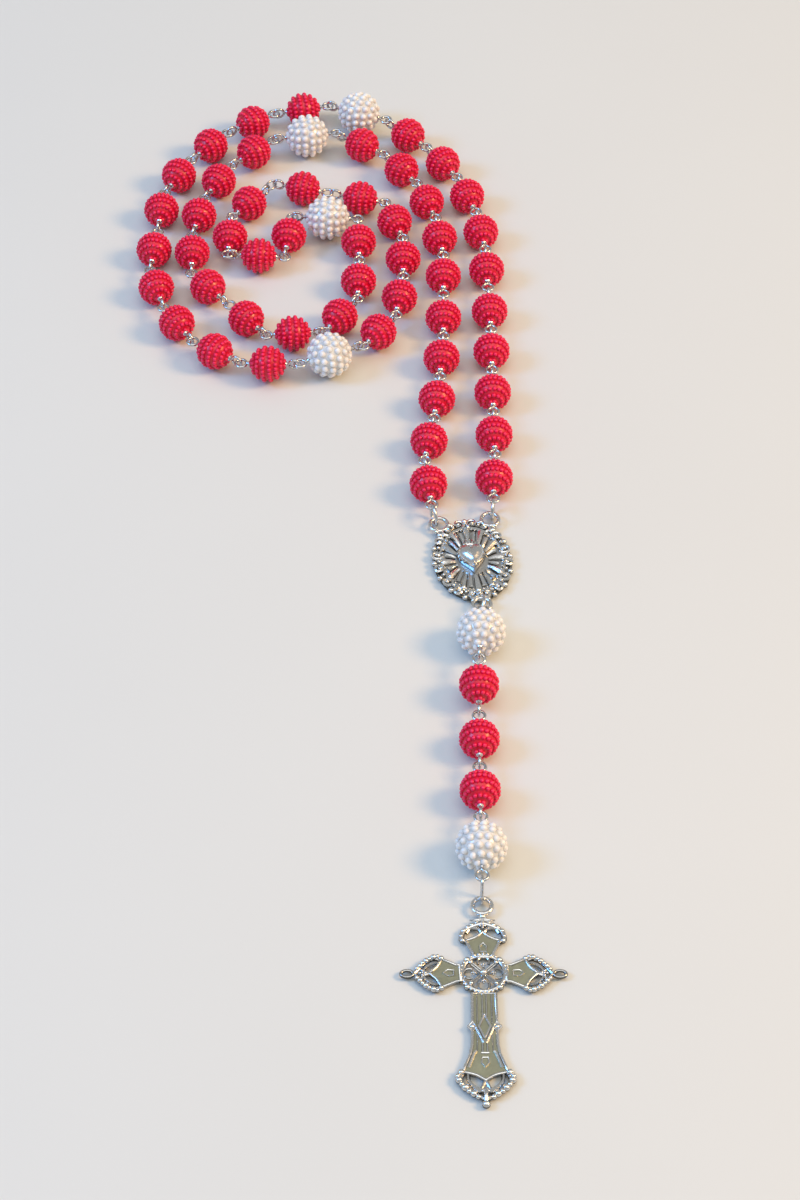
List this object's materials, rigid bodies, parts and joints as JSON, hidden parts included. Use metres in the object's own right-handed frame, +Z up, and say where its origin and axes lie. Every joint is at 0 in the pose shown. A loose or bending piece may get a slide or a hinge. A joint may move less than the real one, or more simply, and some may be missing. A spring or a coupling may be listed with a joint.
{
  "type": "rosary",
  "caption": "Rosary of pink berry beads and white pearl beads on linked wire pins, with an oval heart medal and a filigree crucifix, laid out flat.",
  "frame": {"origin": "middle of the flat back of the centre medal, on the surface that the rosary lies on", "axes": "+Z up from the surface, +Y from the crucifix towards the loop of beads, +X to the right"},
  "size_m": [0.0884, 0.2728, 0.0099],
  "materials": {
    "pink_bead": "glossy raspberry pink resin with rows of tiny half pearls, on a bright steel eye pin",
    "pearl_bead": "milky white pearl resin set with tiny pearls, on a bright steel eye pin",
    "wire_steel": "bright round wire",
    "cast_silver": "bright cast metal with darkened recesses"
  },
  "bodies": {
    "centre_medal": {"centre_medal": "cast_silver"},
    "medal_ring_left": {"medal_ring_left": "wire_steel"},
    "decade_1_bead_01": {"decade_1_bead_01": "pink_bead"},
    "decade_1_bead_02": {"decade_1_bead_02": "pink_bead"},
    "decade_1_bead_03": {"decade_1_bead_03": "pink_bead"},
    "decade_1_bead_04": {"decade_1_bead_04": "pink_bead"},
    "decade_1_beads_05_06": {"decade_1_beads_05_06": "pink_bead"},
    "decade_1_bead_07": {"decade_1_bead_07": "pink_bead"},
    "decade_1_bead_08": {"decade_1_bead_08": "pink_bead"},
    "decade_1_bead_09": {"decade_1_bead_09": "pink_bead"},
    "decade_1_bead_10": {"decade_1_bead_10": "pink_bead"},
    "our_father_bead_1": {"our_father_bead_1": "pearl_bead"},
    "decade_2_bead_01": {"decade_2_bead_01": "pink_bead"},
    "decade_2_bead_02": {"decade_2_bead_02": "pink_bead"},
    "decade_2_bead_03": {"decade_2_bead_03": "pink_bead"},
    "decade_2_bead_04": {"decade_2_bead_04": "pink_bead"},
    "decade_2_beads_05_06": {"decade_2_beads_05_06": "pink_bead"},
    "decade_2_bead_07": {"decade_2_bead_07": "pink_bead"},
    "decade_2_bead_08": {"decade_2_bead_08": "pink_bead"},
    "decade_2_bead_09": {"decade_2_bead_09": "pink_bead"},
    "decade_2_bead_10": {"decade_2_bead_10": "pink_bead"},
    "our_father_bead_2": {"our_father_bead_2": "pearl_bead"},
    "decade_3_bead_01": {"decade_3_bead_01": "pink_bead"},
    "decade_3_bead_02": {"decade_3_bead_02": "pink_bead"},
    "decade_3_bead_03": {"decade_3_bead_03": "pink_bead"},
    "decade_3_bead_04": {"decade_3_bead_04": "pink_bead"},
    "medal_ring_right": {"medal_ring_right": "wire_steel"},
    "decade_5_bead_10": {"decade_5_bead_10": "pink_bead"},
    "decade_5_bead_09": {"decade_5_bead_09": "pink_bead"},
    "decade_5_bead_08": {"decade_5_bead_08": "pink_bead"},
    "decade_5_bead_07": {"decade_5_bead_07": "pink_bead"},
    "decade_5_beads_05_06": {"decade_5_beads_05_06": "pink_bead"},
    "decade_5_bead_04": {"decade_5_bead_04": "pink_bead"},
    "decade_5_bead_03": {"decade_5_bead_03": "pink_bead"},
    "decade_5_bead_02": {"decade_5_bead_02": "pink_bead"},
    "decade_5_bead_01": {"decade_5_bead_01": "pink_bead"},
    "our_father_bead_4": {"our_father_bead_4": "pearl_bead"},
    "decade_4_bead_10": {"decade_4_bead_10": "pink_bead"},
    "decade_4_bead_09": {"decade_4_bead_09": "pink_bead"},
    "decade_4_bead_08": {"decade_4_bead_08": "pink_bead"},
    "decade_4_bead_07": {"decade_4_bead_07": "pink_bead"},
    "decade_4_beads_05_06": {"decade_4_beads_05_06": "pink_bead"},
    "decade_4_bead_04": {"decade_4_bead_04": "pink_bead"},
    "decade_4_bead_03": {"decade_4_bead_03": "pink_bead"},
    "decade_4_bead_02": {"decade_4_bead_02": "pink_bead"},
    "decade_4_bead_01": {"decade_4_bead_01": "pink_bead"},
    "our_father_bead_3": {"our_father_bead_3": "pearl_bead"},
    "decade_3_bead_10": {"decade_3_bead_10": "pink_bead"},
    "decade_3_bead_09": {"decade_3_bead_09": "pink_bead"},
    "decade_3_bead_08": {"decade_3_bead_08": "pink_bead"},
    "decade_3_bead_07": {"decade_3_bead_07": "pink_bead"},
    "decade_3_beads_05_06": {"decade_3_beads_05_06": "pink_bead"},
    "medal_ring_bottom": {"medal_ring_bottom": "wire_steel"},
    "pendant_pearl_bead_upper": {"pendant_pearl_bead_upper": "pearl_bead"},
    "pendant_small_bead_1": {"pendant_small_bead_1": "pink_bead"},
    "pendant_small_bead_2": {"pendant_small_bead_2": "pink_bead"},
    "pendant_small_bead_3": {"pendant_small_bead_3": "pink_bead"},
    "pendant_pearl_bead_lower": {"pendant_pearl_bead_lower": "pearl_bead"},
    "crucifix_link": {"crucifix_link": "wire_steel"},
    "crucifix": {"crucifix": "cast_silver"}
  },
  "joints": [
    {"name": "medal_ring_left_hinge", "type": "hinge", "parent": "centre_medal", "child": "medal_ring_left", "pos_m": [-0.00771, 0.01101, 0.0014], "axis": [-0.972, -0.2351, 0], "range_deg": [-20, 40]},
    {"name": "decade_1_bead_01_hinge", "type": "hinge", "parent": "medal_ring_left", "child": "decade_1_bead_01", "pos_m": [-0.00771, 0.01101, 0.0027], "axis": [0.972, 0.2351, 0], "range_deg": [-60, 60]},
    {"name": "decade_1_bead_02_hinge", "type": "hinge", "parent": "decade_1_bead_01", "child": "decade_1_bead_02", "pos_m": [-0.00937, 0.02432, 0.00413], "axis": [-0.9944, -0.1054, 0], "range_deg": [-60, 60]},
    {"name": "decade_1_bead_03_hinge", "type": "hinge", "parent": "decade_1_bead_02", "child": "decade_1_bead_03", "pos_m": [-0.0076, 0.0368, 0.004], "axis": [-0.9864, 0.1646, 0], "range_deg": [-60, 60]},
    {"name": "decade_1_bead_04_hinge", "type": "hinge", "parent": "decade_1_bead_03", "child": "decade_1_bead_04", "pos_m": [-0.00622, 0.04938, 0.004], "axis": [0.9946, -0.1037, 0], "range_deg": [-60, 60]},
    {"name": "decade_1_beads_05_06_hinge", "type": "hinge", "parent": "decade_1_bead_04", "child": "decade_1_beads_05_06", "pos_m": [-0.00533, 0.06199, 0.004], "axis": [0.9977, -0.0671, 0], "range_deg": [-60, 60]},
    {"name": "decade_1_bead_07_hinge", "type": "hinge", "parent": "decade_1_beads_05_06", "child": "decade_1_bead_07", "pos_m": [-0.00504, 0.08808, 0.004], "axis": [-1, 0.0086, 0], "range_deg": [-60, 60]},
    {"name": "decade_1_bead_08_hinge", "type": "hinge", "parent": "decade_1_bead_07", "child": "decade_1_bead_08", "pos_m": [-0.00655, 0.10063, 0.004], "axis": [-0.9912, -0.1323, 0], "range_deg": [-60, 60]},
    {"name": "decade_1_bead_09_hinge", "type": "hinge", "parent": "decade_1_bead_08", "child": "decade_1_bead_09", "pos_m": [-0.01048, 0.11263, 0.004], "axis": [0.9444, 0.3288, 0], "range_deg": [-60, 60]},
    {"name": "decade_1_bead_10_hinge", "type": "hinge", "parent": "decade_1_bead_09", "child": "decade_1_bead_10", "pos_m": [-0.01766, 0.12299, 0.004], "axis": [0.8062, 0.5916, 0], "range_deg": [-60, 60]},
    {"name": "our_father_bead_1_hinge", "type": "hinge", "parent": "decade_1_bead_10", "child": "our_father_bead_1", "pos_m": [-0.02829, 0.12969, 0.00459], "axis": [-0.5021, -0.8648, 0], "range_deg": [-60, 60]},
    {"name": "decade_2_bead_01_hinge", "type": "hinge", "parent": "our_father_bead_1", "child": "decade_2_bead_01", "pos_m": [-0.04263, 0.12825, 0.005], "axis": [0.1494, -0.9888, 0], "range_deg": [-60, 60]},
    {"name": "decade_2_bead_02_hinge", "type": "hinge", "parent": "decade_2_bead_01", "child": "decade_2_bead_02", "pos_m": [-0.05236, 0.12043, 0.00406], "axis": [-0.6648, 0.747, 0], "range_deg": [-60, 60]},
    {"name": "decade_2_bead_03_hinge", "type": "hinge", "parent": "decade_2_bead_02", "child": "decade_2_bead_03", "pos_m": [-0.05821, 0.10931, 0.004], "axis": [-0.9009, 0.434, 0], "range_deg": [-60, 60]},
    {"name": "decade_2_bead_04_hinge", "type": "hinge", "parent": "decade_2_bead_03", "child": "decade_2_bead_04", "pos_m": [-0.06061, 0.09693, 0.004], "axis": [0.9862, -0.1656, 0], "range_deg": [-60, 60]},
    {"name": "decade_2_beads_05_06_hinge", "type": "hinge", "parent": "decade_2_bead_04", "child": "decade_2_beads_05_06", "pos_m": [-0.06047, 0.0843, 0.004], "axis": [0.9996, 0.0292, 0], "range_deg": [-60, 60]},
    {"name": "decade_2_bead_07_hinge", "type": "hinge", "parent": "decade_2_beads_05_06", "child": "decade_2_bead_07", "pos_m": [-0.04419, 0.06422, 0.004], "axis": [-0.7589, -0.6512, 0], "range_deg": [-60, 60]},
    {"name": "decade_2_bead_08_hinge", "type": "hinge", "parent": "decade_2_bead_07", "child": "decade_2_bead_08", "pos_m": [-0.03199, 0.06435, 0.004], "axis": [0.0871, -0.9962, 0], "range_deg": [-60, 60]},
    {"name": "decade_2_bead_09_hinge", "type": "hinge", "parent": "decade_2_bead_08", "child": "decade_2_bead_09", "pos_m": [-0.02445, 0.07401, 0.004], "axis": [-0.8313, 0.5558, 0], "range_deg": [-60, 60]},
    {"name": "decade_2_bead_10_hinge", "type": "hinge", "parent": "decade_2_bead_09", "child": "decade_2_bead_10", "pos_m": [-0.02361, 0.08647, 0.004], "axis": [-0.9998, 0.0175, 0], "range_deg": [-60, 60]},
    {"name": "our_father_bead_2_hinge", "type": "hinge", "parent": "decade_2_bead_10", "child": "our_father_bead_2", "pos_m": [-0.02402, 0.09911, 0.00459], "axis": [0.9993, 0.0371, 0], "range_deg": [-60, 60]},
    {"name": "decade_3_bead_01_hinge", "type": "hinge", "parent": "our_father_bead_2", "child": "decade_3_bead_01", "pos_m": [-0.03754, 0.10105, 0.005], "axis": [0.0586, 0.9983, 0], "range_deg": [-60, 60]},
    {"name": "decade_3_bead_02_hinge", "type": "hinge", "parent": "decade_3_bead_01", "child": "decade_3_bead_02", "pos_m": [-0.04, 0.08969, 0.00406], "axis": [0.9934, -0.1143, 0], "range_deg": [-60, 60]},
    {"name": "decade_3_bead_03_hinge", "type": "hinge", "parent": "decade_3_bead_02", "child": "decade_3_bead_03", "pos_m": [-0.05159, 0.08948, 0.004], "axis": [-0.0807, -0.9967, 0], "range_deg": [-60, 60]},
    {"name": "decade_3_bead_04_hinge", "type": "hinge", "parent": "decade_3_bead_03", "child": "decade_3_bead_04", "pos_m": [-0.05217, 0.10106, 0.004], "axis": [0.9988, -0.0495, 0], "range_deg": [-60, 60]},
    {"name": "medal_ring_right_hinge", "type": "hinge", "parent": "centre_medal", "child": "medal_ring_right", "pos_m": [0.00438, 0.01271, 0.0014], "axis": [-0.9973, 0.0735, 0], "range_deg": [-20, 40]},
    {"name": "decade_5_bead_10_hinge", "type": "hinge", "parent": "medal_ring_right", "child": "decade_5_bead_10", "pos_m": [0.00438, 0.01271, 0.0027], "axis": [0.9973, -0.0735, 0], "range_deg": [-60, 60]},
    {"name": "decade_5_bead_09_hinge", "type": "hinge", "parent": "decade_5_bead_10", "child": "decade_5_bead_09", "pos_m": [0.00502, 0.02612, 0.00413], "axis": [0.9991, -0.0434, 0], "range_deg": [-60, 60]},
    {"name": "decade_5_bead_08_hinge", "type": "hinge", "parent": "decade_5_bead_09", "child": "decade_5_bead_08", "pos_m": [0.00501, 0.03877, 0.004], "axis": [-1, -0.0052, 0], "range_deg": [-60, 60]},
    {"name": "decade_5_bead_07_hinge", "type": "hinge", "parent": "decade_5_bead_08", "child": "decade_5_bead_07", "pos_m": [0.005, 0.05142, 0.004], "axis": [-1, 0, 0], "range_deg": [-60, 60]},
    {"name": "decade_5_beads_05_06_hinge", "type": "hinge", "parent": "decade_5_bead_07", "child": "decade_5_beads_05_06", "pos_m": [0.00502, 0.06407, 0.004], "axis": [1, -0.0019, 0], "range_deg": [-60, 60]},
    {"name": "decade_5_bead_04_hinge", "type": "hinge", "parent": "decade_5_beads_05_06", "child": "decade_5_bead_04", "pos_m": [0.00431, 0.09015, 0.004], "axis": [0.9996, 0.0286, 0], "range_deg": [-60, 60]},
    {"name": "decade_5_bead_03_hinge", "type": "hinge", "parent": "decade_5_bead_04", "child": "decade_5_bead_03", "pos_m": [0.00258, 0.10267, 0.004], "axis": [-0.9891, -0.1472, 0], "range_deg": [-60, 60]},
    {"name": "decade_5_bead_02_hinge", "type": "hinge", "parent": "decade_5_bead_03", "child": "decade_5_bead_02", "pos_m": [-0.00133, 0.11468, 0.004], "axis": [-0.9455, -0.3255, 0], "range_deg": [-60, 60]},
    {"name": "decade_5_bead_01_hinge", "type": "hinge", "parent": "decade_5_bead_02", "child": "decade_5_bead_01", "pos_m": [-0.00795, 0.12542, 0.004], "axis": [0.8396, 0.5432, 0], "range_deg": [-60, 60]},
    {"name": "our_father_bead_4_hinge", "type": "hinge", "parent": "decade_5_bead_01", "child": "our_father_bead_4", "pos_m": [-0.01699, 0.13423, 0.00459], "axis": [0.6817, 0.7317, 0], "range_deg": [-60, 60]},
    {"name": "decade_4_bead_10_hinge", "type": "hinge", "parent": "our_father_bead_4", "child": "decade_4_bead_10", "pos_m": [-0.03034, 0.14008, 0.005], "axis": [-0.3751, -0.927, 0], "range_deg": [-60, 60]},
    {"name": "decade_4_bead_09_hinge", "type": "hinge", "parent": "decade_4_bead_10", "child": "decade_4_bead_09", "pos_m": [-0.04275, 0.13859, 0.00406], "axis": [0.1668, -0.986, 0], "range_deg": [-60, 60]},
    {"name": "decade_4_bead_08_hinge", "type": "hinge", "parent": "decade_4_bead_09", "child": "decade_4_bead_08", "pos_m": [-0.05347, 0.13205, 0.004], "axis": [-0.5522, 0.8337, 0], "range_deg": [-60, 60]},
    {"name": "decade_4_bead_07_hinge", "type": "hinge", "parent": "decade_4_bead_08", "child": "decade_4_bead_07", "pos_m": [-0.06171, 0.12251, 0.004], "axis": [-0.774, 0.6332, 0], "range_deg": [-60, 60]},
    {"name": "decade_4_beads_05_06_hinge", "type": "hinge", "parent": "decade_4_bead_07", "child": "decade_4_beads_05_06", "pos_m": [-0.06729, 0.11119, 0.004], "axis": [0.9067, -0.4219, 0], "range_deg": [-60, 60]},
    {"name": "decade_4_bead_04_hinge", "type": "hinge", "parent": "decade_4_beads_05_06", "child": "decade_4_bead_04", "pos_m": [-0.06952, 0.08527, 0.004], "axis": [0.9976, -0.0699, 0], "range_deg": [-60, 60]},
    {"name": "decade_4_bead_03_hinge", "type": "hinge", "parent": "decade_4_bead_04", "child": "decade_4_bead_03", "pos_m": [-0.06632, 0.0731, 0.004], "axis": [-0.9586, -0.2849, 0], "range_deg": [-60, 60]},
    {"name": "decade_4_bead_02_hinge", "type": "hinge", "parent": "decade_4_bead_03", "child": "decade_4_bead_02", "pos_m": [-0.05979, 0.06232, 0.004], "axis": [-0.8418, -0.5398, 0], "range_deg": [-60, 60]},
    {"name": "decade_4_bead_01_hinge", "type": "hinge", "parent": "decade_4_bead_02", "child": "decade_4_bead_01", "pos_m": [-0.04948, 0.05515, 0.004], "axis": [0.5389, 0.8424, 0], "range_deg": [-60, 60]},
    {"name": "our_father_bead_3_hinge", "type": "hinge", "parent": "decade_4_bead_01", "child": "our_father_bead_3", "pos_m": [-0.03705, 0.05358, 0.00459], "axis": [0.0831, 0.9965, 0], "range_deg": [-60, 60]},
    {"name": "decade_3_bead_10_hinge", "type": "hinge", "parent": "our_father_bead_3", "child": "decade_3_bead_10", "pos_m": [-0.02348, 0.05875, 0.005], "axis": [0.3903, -0.9207, 0], "range_deg": [-60, 60]},
    {"name": "decade_3_bead_09_hinge", "type": "hinge", "parent": "decade_3_bead_10", "child": "decade_3_bead_09", "pos_m": [-0.01608, 0.0688, 0.00406], "axis": [0.8347, -0.5508, 0], "range_deg": [-60, 60]},
    {"name": "decade_3_bead_08_hinge", "type": "hinge", "parent": "decade_3_bead_09", "child": "decade_3_bead_08", "pos_m": [-0.01398, 0.08116, 0.004], "axis": [-0.9918, 0.1277, 0], "range_deg": [-60, 60]},
    {"name": "decade_3_bead_07_hinge", "type": "hinge", "parent": "decade_3_bead_08", "child": "decade_3_bead_07", "pos_m": [-0.01399, 0.0938, 0.004], "axis": [-0.9999, -0.0134, 0], "range_deg": [-60, 60]},
    {"name": "decade_3_beads_05_06_hinge", "type": "hinge", "parent": "decade_3_bead_07", "child": "decade_3_beads_05_06", "pos_m": [-0.01763, 0.10587, 0.004], "axis": [0.9489, 0.3156, 0], "range_deg": [-60, 60]},
    {"name": "medal_ring_bottom_hinge", "type": "hinge", "parent": "centre_medal", "child": "medal_ring_bottom", "pos_m": [0.00199, -0.01419, 0.0014], "axis": [0.994, -0.1093, 0], "range_deg": [-20, 40]},
    {"name": "pendant_pearl_bead_upper_hinge", "type": "hinge", "parent": "medal_ring_bottom", "child": "pendant_pearl_bead_upper", "pos_m": [0.00199, -0.01419, 0.0027], "axis": [-0.994, 0.1093, 0], "range_deg": [-60, 60]},
    {"name": "pendant_small_bead_1_hinge", "type": "hinge", "parent": "pendant_pearl_bead_upper", "child": "pendant_small_bead_1", "pos_m": [0.00082, -0.02958, 0.00614], "axis": [0.9974, -0.0714, 0], "range_deg": [-60, 60]},
    {"name": "pendant_small_bead_2_hinge", "type": "hinge", "parent": "pendant_small_bead_1", "child": "pendant_small_bead_2", "pos_m": [0.00058, -0.04223, 0.00418], "axis": [0.9999, -0.0139, 0], "range_deg": [-60, 60]},
    {"name": "pendant_small_bead_3_hinge", "type": "hinge", "parent": "pendant_small_bead_2", "child": "pendant_small_bead_3", "pos_m": [0.00046, -0.05486, 0.004], "axis": [-1, 0.0087, 0], "range_deg": [-60, 60]},
    {"name": "pendant_pearl_bead_lower_hinge", "type": "hinge", "parent": "pendant_small_bead_3", "child": "pendant_pearl_bead_lower", "pos_m": [0.00042, -0.06752, 0.00459], "axis": [-1, 0.0028, 0], "range_deg": [-60, 60]},
    {"name": "crucifix_link_hinge", "type": "hinge", "parent": "pendant_pearl_bead_lower", "child": "crucifix_link", "pos_m": [0.00041, -0.08331, 0.005], "axis": [1, -0.0003, 0], "range_deg": [-45, 20]},
    {"name": "crucifix_hinge", "type": "hinge", "parent": "crucifix_link", "child": "crucifix", "pos_m": [0.00041, -0.08468, 0.0014], "axis": [1, -0.0003, 0], "range_deg": [-45, 45]}
  ]
}
